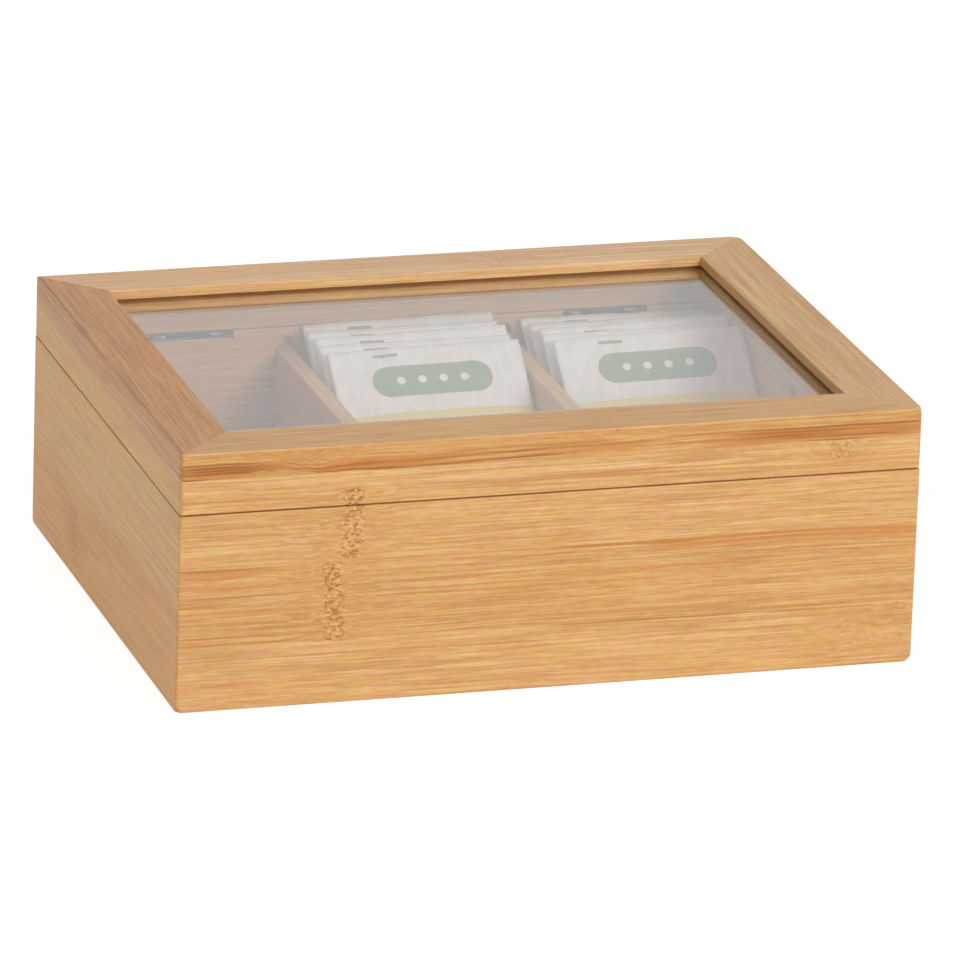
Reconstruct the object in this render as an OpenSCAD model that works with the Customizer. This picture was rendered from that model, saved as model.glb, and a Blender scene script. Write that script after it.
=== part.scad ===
// Bamboo tea bag organizer box with a hinged window lid.
//
// Frame: X to the right, Y to the back, Z up, millimetres. The origin is on the
// surface that the box stands on, in the middle of the four walls.
// A mitred tray of four grooved walls holds a floor panel and three halved
// dividers. The lid is a grooved top frame around a clear pane, glued onto four
// rim walls. Two butt hinges with stop flanges join the lid to the back wall.

/* [Box] */
// Overall width, left to right
box_w = 215; // [190:1:240]
// Overall depth, front to back, without the hinge barrels
box_d = 166; // [156:1:180]
// Height of the closed box
box_h = 75.5; // [72:0.5:85]
// Thickness of the four walls and of the lid's rim walls
wall_t = 10; // [9:0.5:12]
// Rounding of the upright corners, below the top frame
corner_r = 0.9; // [0.5:0.1:2]
// Rounding along the bottom edges
base_r = 0.8; // [0.5:0.1:2]
// How far the sanding of the bottom corner points reaches along each edge
base_sanding = 2.8; // [2:0.1:3.5]
// Easing of the edges that meet at the seam between tray and lid
seam_r = 0.3; // [0.3:0.1:1]

/* [Floor] */
// Thickness of the floor panel
floor_t = 4; // [3:0.5:6]
// How far the floor runs under each wall
floor_bite = 5; // [3:0.5:6]

/* [Dividers] */
// Thickness of the dividers
divider_t = 5; // [4:0.5:6]
// How far the long dividers stand to the right of their even places
divider_shift = -1.3; // [-1.5:0.1:1.5]
// How far the dividers stop short of the tray's top edge
divider_drop = 6.2; // [5:0.2:10]
// Depth of the grooves that hold the dividers' ends
groove_depth = 3; // [2:0.5:4]
// How far a groove runs on above its divider, up to its round end
groove_over = 3.8; // [3:0.2:4.6]
// Easing of the dividers' top edges
divider_r = 0.6; // [0.2:0.1:1]

/* [Lid] */
// Height of the lid, from the seam to its top
lid_h = 17.6; // [15:0.2:20]
// Open seam between tray and lid
seam_gap = 0.4; // [0.3:0.1:0.8]
// Width of the top frame's rails
rail_w = 17.6; // [16:0.2:22]
// Thickness of the top frame's rails
rail_h = 7.8; // [7:0.1:9]
// Rounding of the lid's upright corners
lid_corner_r = 1.6; // [1:0.1:3]
// Easing of the lid's outer top edges
top_r = 0.5; // [0.3:0.1:1.5]
// Easing of the window's upper edge
window_r = 0.5; // [0.3:0.1:1.2]
// How far the sanding of the right-hand corner points reaches along each edge
lid_sanding = 3.2; // [2.6:0.1:4]

/* [Pane] */
// Thickness of the clear pane
pane_t = 1.5; // [1:0.1:2]
// Wood that stays above the pane's groove
pane_lip = 2.9; // [2.5:0.1:3.5]
// Depth of the pane's groove
pane_bite = 5; // [3:0.5:6]
// Free height above the pane in its groove
pane_play = 0.8; // [0.2:0.1:0.8]

/* [Hinges] */
// Length of a hinge, and of its barrel
hinge_l = 25; // [20:1:30]
// Distance of each hinge's middle from the end of the box
hinge_inset = 44.2; // [38:0.2:50]
// Thickness of a hinge leaf
leaf_t = 0.9; // [0.7:0.1:1.1]
// Free height between the two closed leaves
leaf_gap = 1.1; // [0.9:0.1:1.3]
// Outer radius of the hinge barrel
barrel_r = 1.5; // [1.4:0.1:1.8]
// Radius of the hinge pin
pin_r = 0.6; // [0.5:0.05:0.7]
// How far the stop flanges reach from the hinge pin
stop_reach = 2.8; // [2.5:0.1:3.4]
// Angle at which the stop flanges meet
stop_angle = 100; // [95:1:105]

/* [Screws] */
// Radius of a screw's shank
screw_r = 1; // [0.8:0.1:1.2]
// Radius of a screw's countersunk head
screw_head_r = 1.9; // [1.7:0.1:2.1]
// Length of a screw, head included
screw_l = 8; // [6:0.5:8.5]
// Distance between the two screws of a leaf
screw_spread = 17; // [14:0.5:18]
// Distance of the screws from the inside of the wall
screw_inset = 3.4; // [3:0.1:6]

/* [Sachets] */
// Height of a tea sachet, measured straight from end to end
sachet_h = 68; // [64:0.5:72]
// Room beside a sachet in an even compartment, on each side
sachet_play = 1.9; // [1.6:0.1:4]
// Distance from one sachet to the next, front to back
sachet_pitch = 6.8; // [5:0.1:7.2]
// Thickness of a sachet's sealed edge
seal_t = 0.8; // [0.6:0.1:1]
// Width of a sachet's sealed edge
seal_w = 5; // [3:0.5:7]
// How far a sachet bends from its bottom to its top, in degrees
sachet_bow = 26; // [10:1:28]
// How far each odd sachet is tilted, with its right end up, in degrees
sachet_tilt = 0.9; // [0:0.1:1.5]
// How far the rear sachet of the right stack is tilted, in degrees
rear_tilt = -0.5; // [-1.5:0.1:1.5]
// Distance from one foot to the next in the right stack, which fans out upwards
right_foot_pitch = 6.1; // [5:0.1:7.2]
// Place of the centre stack in its free room, from -1 on the left to 1 on the right
centre_slide = 0.6; // [-0.1:0.1:1]
// Place of the right stack in its free room
right_slide = 1; // [-0.1:0.1:1]
// Place of the rear sachet of the right stack in its free room
rear_slide = -0.4; // [-1:0.1:1]
// How far each even sachet stands further left, as a share of the free room
sachet_stagger = 0.9; // [0:0.1:0.9]

/* [Hidden] */

$fn = 48;
// Overlap that a cutter takes past the face it cuts
eps = 0.5;

// Clearances
fit = 0.1;          // wood or pane in its groove, on each side
soft_gap = 0.3;     // paper next to wood, or to the next sachet
pin_clearance = 0.03;
screw_clearance = 0.04;
barrel_gap = 0.1;   // barrel to the back of the box
knuckle_gap = 0.15;
plate_gap = 0.15;   // edge of a leaf's flat to the turning barrel
notch_gap = 0.5;    // hinge leaf to the sides of its notch
leaf_set_back = 0.8; // edge of a leaf to the inside of the wall
head_gap = 0.4;     // between the heads of the two leaves' screws
stop_gap = 0.1;     // between the stop flanges at the full opening

// Levels
seam_z = box_h - lid_h - seam_gap;   // top of the tray's walls
lid_z = box_h - lid_h;               // underside of the lid
rail_z = box_h - rail_h;             // underside of the top frame
pane_z = box_h - pane_lip - pane_play - pane_t;
divider_z = seam_z - divider_drop;   // top of the dividers
half_lap_z = (floor_t + divider_z) / 2;

// Plan sizes
inner_w = box_w - 2 * wall_t;
inner_d = box_d - 2 * wall_t;
bay_w = (inner_w - 2 * divider_t) / 3;
bay_d = (inner_d - divider_t) / 2;
divider_step = bay_w + divider_t;
divider_places = [divider_shift - divider_step / 2, divider_shift + divider_step / 2];
slot_w = divider_t + 2 * fit;

// Hinge places
hinge_x = box_w / 2 - hinge_inset;
axis_y = box_d / 2 + barrel_gap + barrel_r;
axis_z = lid_z - leaf_t - leaf_gap / 2;
leaf_out = leaf_gap / 2 + leaf_t;    // far face of a leaf, from the pin's axis
notch_z = lid_z - 2 * leaf_t - leaf_gap;
plate_y = barrel_r + plate_gap;
plate_l = wall_t + axis_y - box_d / 2 - plate_y - leaf_set_back;
knuckle_count = 5;
knuckle_l = (hinge_l - (knuckle_count - 1) * knuckle_gap) / knuckle_count;

// Screws
countersink_h = 0.75 * leaf_t;       // the countersink ends inside the leaf
screw_dome_h = (leaf_gap - head_gap) / 2;
screw_tip_h = 1.6;
screw_tip_r = 0.3;
driver_slot_w = 0.5;
driver_slot_h = 0.4;

// Sachets lean from the foot of the cross divider back onto the back wall
sachet_count = 5;
sachet_w = bay_w - 2 * sachet_play;
front_foot_y = divider_t / 2 + soft_gap + seal_t / 2;
rear_top_y = inner_d / 2 - soft_gap - seal_t / 2;
sachet_r = sachet_h / (2 * sin(sachet_bow / 2));
fill_rise = 0.2;     // share of its height over which a sachet grows thicker
fill_end = 1 - seal_w / sachet_h - fill_rise;
tight_pitch = right_foot_pitch + (sachet_pitch - right_foot_pitch) * fill_end;
sachet_t = tight_pitch * cos(sachet_angle(fill_end, sachet_lean(1, right_foot_pitch))) - soft_gap;

bamboo = [0.87, 0.69, 0.46];
bamboo_dark = [0.80, 0.61, 0.39];
steel = [0.62, 0.63, 0.65];
paper = [0.93, 0.92, 0.89];
clear = [0.85, 0.90, 0.92, 0.35];

// ---- Outlines ----

// Waste outside a quarter round of radius r, at the corner of a shape that
// lies in the quadrant towards +x and +y.
module corner_waste(r) {
    difference() {
        translate([-eps, -eps]) square(r + eps);
        translate([r, r]) circle(r);
    }
}

// Rectangle from [0, low] to [width, high]; r holds the roundings of its
// outer bottom, inner bottom, inner top and outer top corners.
module eased_profile(width, low, high, r) {
    difference() {
        translate([0, low]) square([width, high - low]);
        if (r[0] > 0) translate([0, low]) corner_waste(r[0]);
        if (r[1] > 0) translate([width, low]) mirror([1, 0]) corner_waste(r[1]);
        if (r[2] > 0) translate([width, high]) rotate(180) corner_waste(r[2]);
        if (r[3] > 0) translate([0, high]) mirror([0, 1]) corner_waste(r[3]);
    }
}

// Plan of a bar that runs along X with its outer face on y = 0: a trapezoid
// with mitred ends and outer corners rounded with radius r.
module mitred_plan(length, width, r) {
    difference() {
        polygon([[-length / 2, 0], [length / 2, 0],
                 [length / 2 - width, width], [-length / 2 + width, width]]);
        translate([-length / 2, 0]) corner_waste(r);
        translate([length / 2, 0]) mirror([1, 0]) corner_waste(r);
    }
}

// ---- Frame bars ----

// Turns a profile drawn in (y, z) into a bar of this length, centred on X.
module along_x(length) {
    rotate([90, 0, 90]) translate([0, 0, -length / 2]) linear_extrude(length) children();
}

// Mitred bar whose profile is the child, drawn as (distance inwards, height).
module mitred_bar(length, width, r) {
    intersection() {
        along_x(length) children();
        linear_extrude(box_h + eps) mitred_plan(length, width, r);
    }
}

// Waste that sanding takes off a corner point at the origin, of a body that
// lies towards +x, +y and +z. The sanded face is part of a sphere.
module sanding_waste(reach) {
    middle = 2.5 * reach;
    difference() {
        translate([-eps, -eps, -eps]) cube(reach + 2 * eps);
        translate([middle, middle, middle]) sphere(norm([middle - reach, middle, middle]));
    }
}

// The four places of a bar around the box.
module on_front() { translate([0, -box_d / 2, 0]) children(); }
module on_back() { translate([0, box_d / 2, 0]) rotate(180) children(); }
module on_left() { translate([-box_w / 2, 0, 0]) rotate(-90) children(); }
module on_right() { translate([box_w / 2, 0, 0]) rotate(90) children(); }

// ---- Tray walls ----

// Profile of a wall, with the rebate for the floor at its inner bottom corner.
module wall_profile() {
    difference() {
        eased_profile(wall_t, 0, seam_z, [base_r, 0, seam_r, seam_r]);
        translate([wall_t - floor_bite, -eps]) square([floor_bite + eps, floor_t + eps]);
    }
}

module wall(length) {
    difference() {
        mitred_bar(length, wall_t, corner_r) wall_profile();
        translate([-length / 2, 0, 0]) sanding_waste(base_sanding);
        translate([length / 2, 0, 0]) mirror([1, 0, 0]) sanding_waste(base_sanding);
    }
}

// Groove for a divider's end, cut into the inside of a wall that lies on the
// front place, at x along that wall. Its upper end is round.
module divider_groove(x) {
    round_z = divider_z + groove_over - slot_w / 2;
    translate([x, wall_t - groove_depth, 0]) {
        translate([-slot_w / 2, 0, floor_t / 2]) cube([slot_w, groove_depth + eps, round_z - floor_t / 2]);
        translate([0, 0, round_z]) rotate([-90, 0, 0]) cylinder(r = slot_w / 2, h = groove_depth + eps);
    }
}

module front_panel() {
    color(bamboo) on_front() difference() {
        wall(box_w);
        for (x = divider_places) divider_groove(x);
    }
}

module back_panel() {
    color(bamboo) difference() {
        on_back() difference() {
            wall(box_w);
            for (x = divider_places) divider_groove(-x);
        }
        for (x = [-hinge_x, hinge_x]) hinge_notch(x);
        each_screw() box_screw(screw_clearance);
    }
}

module left_panel() {
    color(bamboo_dark) on_left() difference() {
        wall(box_d);
        divider_groove(0);
    }
}

module right_panel() {
    color(bamboo) on_right() difference() {
        wall(box_d);
        divider_groove(0);
    }
}

// Cut through the back wall's top edge that takes both closed leaves.
module hinge_notch(x) {
    notch_w = hinge_l + 2 * notch_gap;
    translate([x - notch_w / 2, box_d / 2 - wall_t - eps, notch_z])
        cube([notch_w, wall_t + 2 * eps, seam_z - notch_z + eps]);
}

// ---- Floor and dividers ----

module floor_panel() {
    panel_w = inner_w + 2 * (floor_bite - fit);
    panel_d = inner_d + 2 * (floor_bite - fit);
    color(bamboo_dark) translate([-panel_w / 2, -panel_d / 2, 0]) cube([panel_w, panel_d, floor_t]);
}

// Upright board along X, on the floor, with eased top edges.
module divider_board(length) {
    along_x(length) translate([-divider_t / 2, 0])
        eased_profile(divider_t, floor_t, divider_z, [0, 0, divider_r, divider_r]);
}

// Front-to-back divider, with a halving slot in its upper half.
module long_divider(x) {
    color(bamboo) translate([x, 0, 0]) difference() {
        rotate(90) divider_board(inner_d + 2 * (groove_depth - fit));
        translate([-divider_t / 2 - eps, -slot_w / 2, half_lap_z - fit])
            cube([divider_t + 2 * eps, slot_w, divider_z]);
    }
}

// Left-to-right divider, with a halving slot in its lower half at each crossing.
module divider_cross() {
    color(bamboo) difference() {
        divider_board(inner_w + 2 * (groove_depth - fit));
        for (x = divider_places)
            translate([x - slot_w / 2, -divider_t / 2 - eps, floor_t - eps])
                cube([slot_w, divider_t + 2 * eps, half_lap_z - floor_t + eps]);
    }
}

// ---- Lid ----

// Profile of a top rail, with the groove for the pane in its inner edge.
module rail_profile() {
    difference() {
        eased_profile(rail_w, rail_z, box_h, [0, 0, window_r, top_r]);
        translate([rail_w - pane_bite, pane_z]) square([pane_bite + eps, pane_t + pane_play]);
    }
}

module rail(length) {
    mitred_bar(length, rail_w, lid_corner_r) rail_profile();
}

// Sanding of a rail's upper corner point, at its end on side -1 or 1.
module rail_sanding(length, side) {
    translate([side * length / 2, 0, box_h])
        mirror([0, 0, 1]) mirror([side > 0 ? 1 : 0, 0, 0]) sanding_waste(lid_sanding);
}

module lid_rail_front() {
    color(bamboo) on_front() difference() {
        rail(box_w);
        rail_sanding(box_w, 1);
    }
}

module lid_rail_back() {
    color(bamboo) on_back() difference() {
        rail(box_w);
        rail_sanding(box_w, -1);
    }
}

module lid_rail_right() {
    color(bamboo) on_right() difference() {
        rail(box_d);
        for (side = [-1, 1]) rail_sanding(box_d, side);
    }
}

module rim(length) {
    mitred_bar(length, wall_t, lid_corner_r) eased_profile(wall_t, lid_z, rail_z, [seam_r, seam_r, 0, 0]);
}

module lid_rim_back() {
    color(bamboo) difference() {
        on_back() rim(box_w);
        each_screw() lid_screw(screw_clearance);
    }
}

// The pane lies on the lower side of its groove, with room above it.
module window_pane() {
    pane_w = box_w - 2 * (rail_w - pane_bite + fit);
    pane_d = box_d - 2 * (rail_w - pane_bite + fit);
    color(clear) translate([-pane_w / 2, -pane_d / 2, pane_z]) cube([pane_w, pane_d, pane_t]);
}

// ---- Hinges: outlines in (y, z) around the pin's axis ----

// Height of the tray leaf's stop at y: a plane that slopes with the lid at its
// full opening.
function stop_top(y) = (leaf_gap / 2 - stop_gap) / cos(stop_angle - 90) - y * tan(stop_angle - 90);

// Stop on the tray leaf, from y = start out to its end.
module box_stop_profile(start) {
    polygon([[start, -leaf_out], [stop_reach, -leaf_out],
             [stop_reach, stop_top(stop_reach)], [start, stop_top(start)]]);
}

module box_knuckle_profile() {
    circle(barrel_r);
    translate([-plate_y - fit, -leaf_out]) square([plate_y + fit, leaf_t]);
    box_stop_profile(0);
}

module lid_knuckle_profile() {
    circle(barrel_r);
    translate([-plate_y - fit, leaf_gap / 2]) square([plate_y + fit, leaf_t]);
    translate([-leaf_out, leaf_gap / 2]) square([leaf_t, stop_reach - leaf_gap / 2]);
}

// Knuckles from number first onwards, each second one.
module knuckles(first) {
    for (i = [first : 2 : knuckle_count - 1])
        translate([-hinge_l / 2 + i * (knuckle_l + knuckle_gap), 0, 0])
            rotate([90, 0, 90]) linear_extrude(knuckle_l) children();
}

// Flat of a leaf, with its lower face at z.
module leaf_plate(z) {
    translate([-hinge_l / 2, -plate_y - plate_l, z]) cube([hinge_l, plate_l, leaf_t]);
}

module pin_bore() {
    rotate([0, 90, 0]) cylinder(r = pin_r + pin_clearance, h = hinge_l + 2 * eps, center = true);
}

module on_hinge(x) {
    translate([x, axis_y, axis_z]) children();
}

module box_leaf(x) {
    color(steel) difference() {
        on_hinge(x) difference() {
            union() {
                leaf_plate(-leaf_out);
                knuckles(0) box_knuckle_profile();
                along_x(hinge_l) box_stop_profile(plate_y);
            }
            pin_bore();
        }
        each_screw() box_screw(screw_clearance);
    }
}

module lid_leaf(x) {
    color(steel) difference() {
        on_hinge(x) difference() {
            union() {
                leaf_plate(leaf_gap / 2);
                knuckles(1) lid_knuckle_profile();
            }
            pin_bore();
        }
        each_screw() lid_screw(screw_clearance);
    }
}

module hinge_pin(x) {
    color(steel) on_hinge(x) rotate([0, 90, 0]) cylinder(r = pin_r, h = hinge_l, center = true);
}

// ---- Screws ----

// The four screw places, on the plane of the hinge axis.
module each_screw() {
    for (x = [-hinge_x, hinge_x], side = [-1, 1])
        translate([x + side * screw_spread / 2, box_d / 2 - wall_t + screw_inset, axis_z]) children();
}

// Outline of a screw's domed head, from its top to its rim: a quarter of an
// ellipse.
function dome_outline() = [for (a = [90 : -18 : 0]) [screw_head_r * cos(a), screw_dome_h * sin(a)]];

// Outline of the hole above the countersink, which opens further out.
function hole_outline(grow) =
    [[0, eps], [screw_head_r + grow + eps * (screw_head_r - screw_r) / countersink_h, eps]];

// Countersunk screw with a domed head that points down, with the rim of its
// head on z = 0. With grow it is the hole for the screw.
module screw_solid(grow) {
    rotate_extrude() polygon(concat(grow > 0 ? hole_outline(grow) : dome_outline(), [
        [screw_r + grow, -countersink_h], [screw_r + grow, screw_tip_h - screw_l],
        [screw_tip_r + grow, -screw_l - grow], [0, -screw_l - grow]
    ]));
}

// Straight driver slot in a screw head.
module driver_slot() {
    translate([-screw_head_r, -driver_slot_w / 2, -driver_slot_h])
        cube([2 * screw_head_r, driver_slot_w, driver_slot_h + eps]);
}

module box_screw(grow = 0) {
    translate([0, 0, -leaf_gap / 2]) screw_solid(grow);
}

module lid_screw(grow = 0) {
    mirror([0, 0, 1]) box_screw(grow);
}

module box_leaf_screws() {
    color(steel) each_screw() translate([0, 0, -leaf_gap / 2]) difference() {
        screw_solid(0);
        driver_slot();
    }
}

module lid_leaf_screws() {
    color(steel) each_screw() mirror([0, 0, 1]) translate([0, 0, -leaf_gap / 2]) difference() {
        screw_solid(0);
        driver_slot();
    }
}

// ---- Sachets ----

// Place of a sachet's foot in a stack whose feet are foot_pitch apart.
function sachet_foot_y(number, foot_pitch) = front_foot_y + (sachet_count - number) * foot_pitch;

// Lean of a sachet, from the vertical: its foot and its top have their own
// pitches.
function sachet_lean(number, foot_pitch) =
    asin((rear_top_y - (number - 1) * sachet_pitch - sachet_foot_y(number, foot_pitch)) / sachet_h);

// Angle from the vertical at share s of the height of a sachet with this lean.
function sachet_angle(s, lean) = lean - sachet_bow / 2 + sachet_bow * s;

// Point at share s, h in front of the sachet's middle line, which is an arc.
function sachet_point(s, h, lean) =
    sachet_r * [cos(sachet_angle(0, lean)) - cos(sachet_angle(s, lean)),
                sin(sachet_angle(s, lean)) - sin(sachet_angle(0, lean))]
    + h * [-cos(sachet_angle(s, lean)), sin(sachet_angle(s, lean))];

// Side view from share low to share high; fill is the half thickness in the
// middle, rim the half thickness at the ends, and swell the share over which
// it grows.
module sachet_profile(lean, low, high, rim, fill, swell) {
    steps = 10;
    shares = [for (i = [0 : steps]) low + (high - low) * i / steps];
    halves = [for (s = shares) rim + (fill - rim) * min(1, (s - low) / swell, (high - s) / swell)];
    polygon(concat(
        [for (i = [0 : steps]) sachet_point(shares[i], halves[i], lean)],
        [for (i = [steps : -1 : 0]) sachet_point(shares[i], -halves[i], lean)]
    ));
}

// Left and right sides of compartment 0, 1 or 2, counted from the left.
function bay_left(k) = k == 0 ? -inner_w / 2 : divider_places[k - 1] + divider_t / 2;
function bay_right(k) = k == 2 ? inner_w / 2 : divider_places[k] - divider_t / 2;

// Middle of a sachet across compartment k, at half its height; share runs
// over the room that is left when its sway is allowed for.
function sachet_x(k, share, sway) =
    (bay_left(k) + bay_right(k)) / 2
    + share * ((bay_right(k) - bay_left(k) - sachet_w - abs(sway)) / 2 - soft_gap);

// Envelope of sealed paper with the filled bag as a thicker middle.
module envelope(lean) {
    seal = seal_w / sachet_h;
    along_x(sachet_w) sachet_profile(lean, 0, 1, seal_t / 2, seal_t / 2, 1);
    along_x(sachet_w - 2 * seal_w) sachet_profile(lean, seal, 1 - seal, seal_t / 4, sachet_t / 2, fill_rise);
}

// Sachet in compartment k. Number 1 leans on the back wall, and the last one
// stands at the cross divider. The even ones stand a little further left. The
// tilt lifts the right end, and the room allows for that of any odd sachet.
module sachet(k, number, foot_pitch, slide, tilt) {
    lean = sachet_lean(number, foot_pitch);
    room = sachet_h * cos(lean) * sin(sachet_tilt);
    share = slide - (1 - number % 2) * sachet_stagger;
    x = sachet_x(k, share, room) + sachet_h * cos(lean) * sin(tilt) / 2;
    foot_z = floor_t + soft_gap + seal_t / 2 * sin(lean) + sachet_w / 2 * sin(abs(tilt));
    color(paper) translate([x, sachet_foot_y(number, foot_pitch), foot_z])
        rotate([0, -tilt, 0]) envelope(lean);
}

front_panel();
back_panel();
left_panel();
right_panel();
floor_panel();
long_divider(divider_places[0]);  // divider_left
long_divider(divider_places[1]);  // divider_right
divider_cross();
lid_rail_front();
lid_rail_back();
color(bamboo_dark) on_left() rail(box_d);  // lid_rail_left
lid_rail_right();
color(bamboo) on_front() rim(box_w);  // lid_rim_front
lid_rim_back();
color(bamboo_dark) on_left() rim(box_d);  // lid_rim_left
color(bamboo) on_right() rim(box_d);  // lid_rim_right
window_pane();
box_leaf(-hinge_x);  // hinge_left_box_leaf
box_leaf(hinge_x);  // hinge_right_box_leaf
lid_leaf(-hinge_x);  // hinge_left_lid_leaf
lid_leaf(hinge_x);  // hinge_right_lid_leaf
hinge_pin(-hinge_x);  // hinge_left_pin
hinge_pin(hinge_x);  // hinge_right_pin
box_leaf_screws();
lid_leaf_screws();
for (i = [1 : sachet_count]) {
    tilt = i % 2 * sachet_tilt;
    sachet(1, i, sachet_pitch, centre_slide, tilt);
    sachet(2, i, right_foot_pitch, i == 1 ? rear_slide : right_slide, i == 1 ? rear_tilt : tilt);
}
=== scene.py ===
"""Looks of the bamboo tea bag organizer box: finishes, sachets, lights and camera."""
import logging
import math
from dataclasses import dataclass, field
from enum import Enum
from functools import reduce
from typing import Optional, Sequence, Union

import bpy
import numpy as np
from mathutils import Matrix, Vector


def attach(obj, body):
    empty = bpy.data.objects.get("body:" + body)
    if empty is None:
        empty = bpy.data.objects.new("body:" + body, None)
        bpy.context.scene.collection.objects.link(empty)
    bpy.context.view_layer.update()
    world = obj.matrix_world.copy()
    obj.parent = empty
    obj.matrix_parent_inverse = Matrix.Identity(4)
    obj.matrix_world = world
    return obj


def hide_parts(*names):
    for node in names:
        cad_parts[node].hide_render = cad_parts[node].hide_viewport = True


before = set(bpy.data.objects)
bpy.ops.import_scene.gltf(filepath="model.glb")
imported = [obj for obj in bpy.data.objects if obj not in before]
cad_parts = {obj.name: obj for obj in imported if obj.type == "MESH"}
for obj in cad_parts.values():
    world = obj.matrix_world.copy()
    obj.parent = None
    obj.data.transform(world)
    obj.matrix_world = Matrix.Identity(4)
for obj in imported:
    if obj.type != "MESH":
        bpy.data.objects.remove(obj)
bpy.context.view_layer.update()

log = logging.getLogger("tea_box")

MM = 0.001
Colour = tuple[float, float, float]
Output = bpy.types.NodeSocket
Socket = Union[Output, float, Sequence[float]]


# ------------ named choices


class Grain(Enum):
    """Direction that the bamboo fibres of a board run in."""

    ALONG_X = "x"
    ALONG_Y = "y"


class Across(Enum):
    """Direction in which the glued strips of a board follow each other."""

    HEIGHT = "z"
    WIDTH = "width"


def linked(name: str, data: bpy.types.ID) -> bpy.types.Object:
    """Makes an object that shows a mesh, camera or lamp.

    Args:
        name: name of the object.
        data: what it shows.

    Returns:
        The object, at the origin and linked to the scene.
    """
    item = bpy.data.objects.new(name, data)
    bpy.context.scene.collection.objects.link(item)
    return item


def srgb(red: int, green: int, blue: int) -> Colour:
    """Turns a display colour into scene-linear values.

    Each channel c is c / 12.92 below 0.04045, else ((c + 0.055) / 1.055) ** 2.4.

    Args:
        red: red channel, 0 to 255.
        green: green channel, 0 to 255.
        blue: blue channel, 0 to 255.

    Returns:
        The three linear channels.
    """
    channels = np.array([red, green, blue], float) / 255.0
    linear = np.where(channels <= 0.04045, channels / 12.92, ((channels + 0.055) / 1.055) ** 2.4)
    return tuple(linear.tolist())


# ------------ node building


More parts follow.
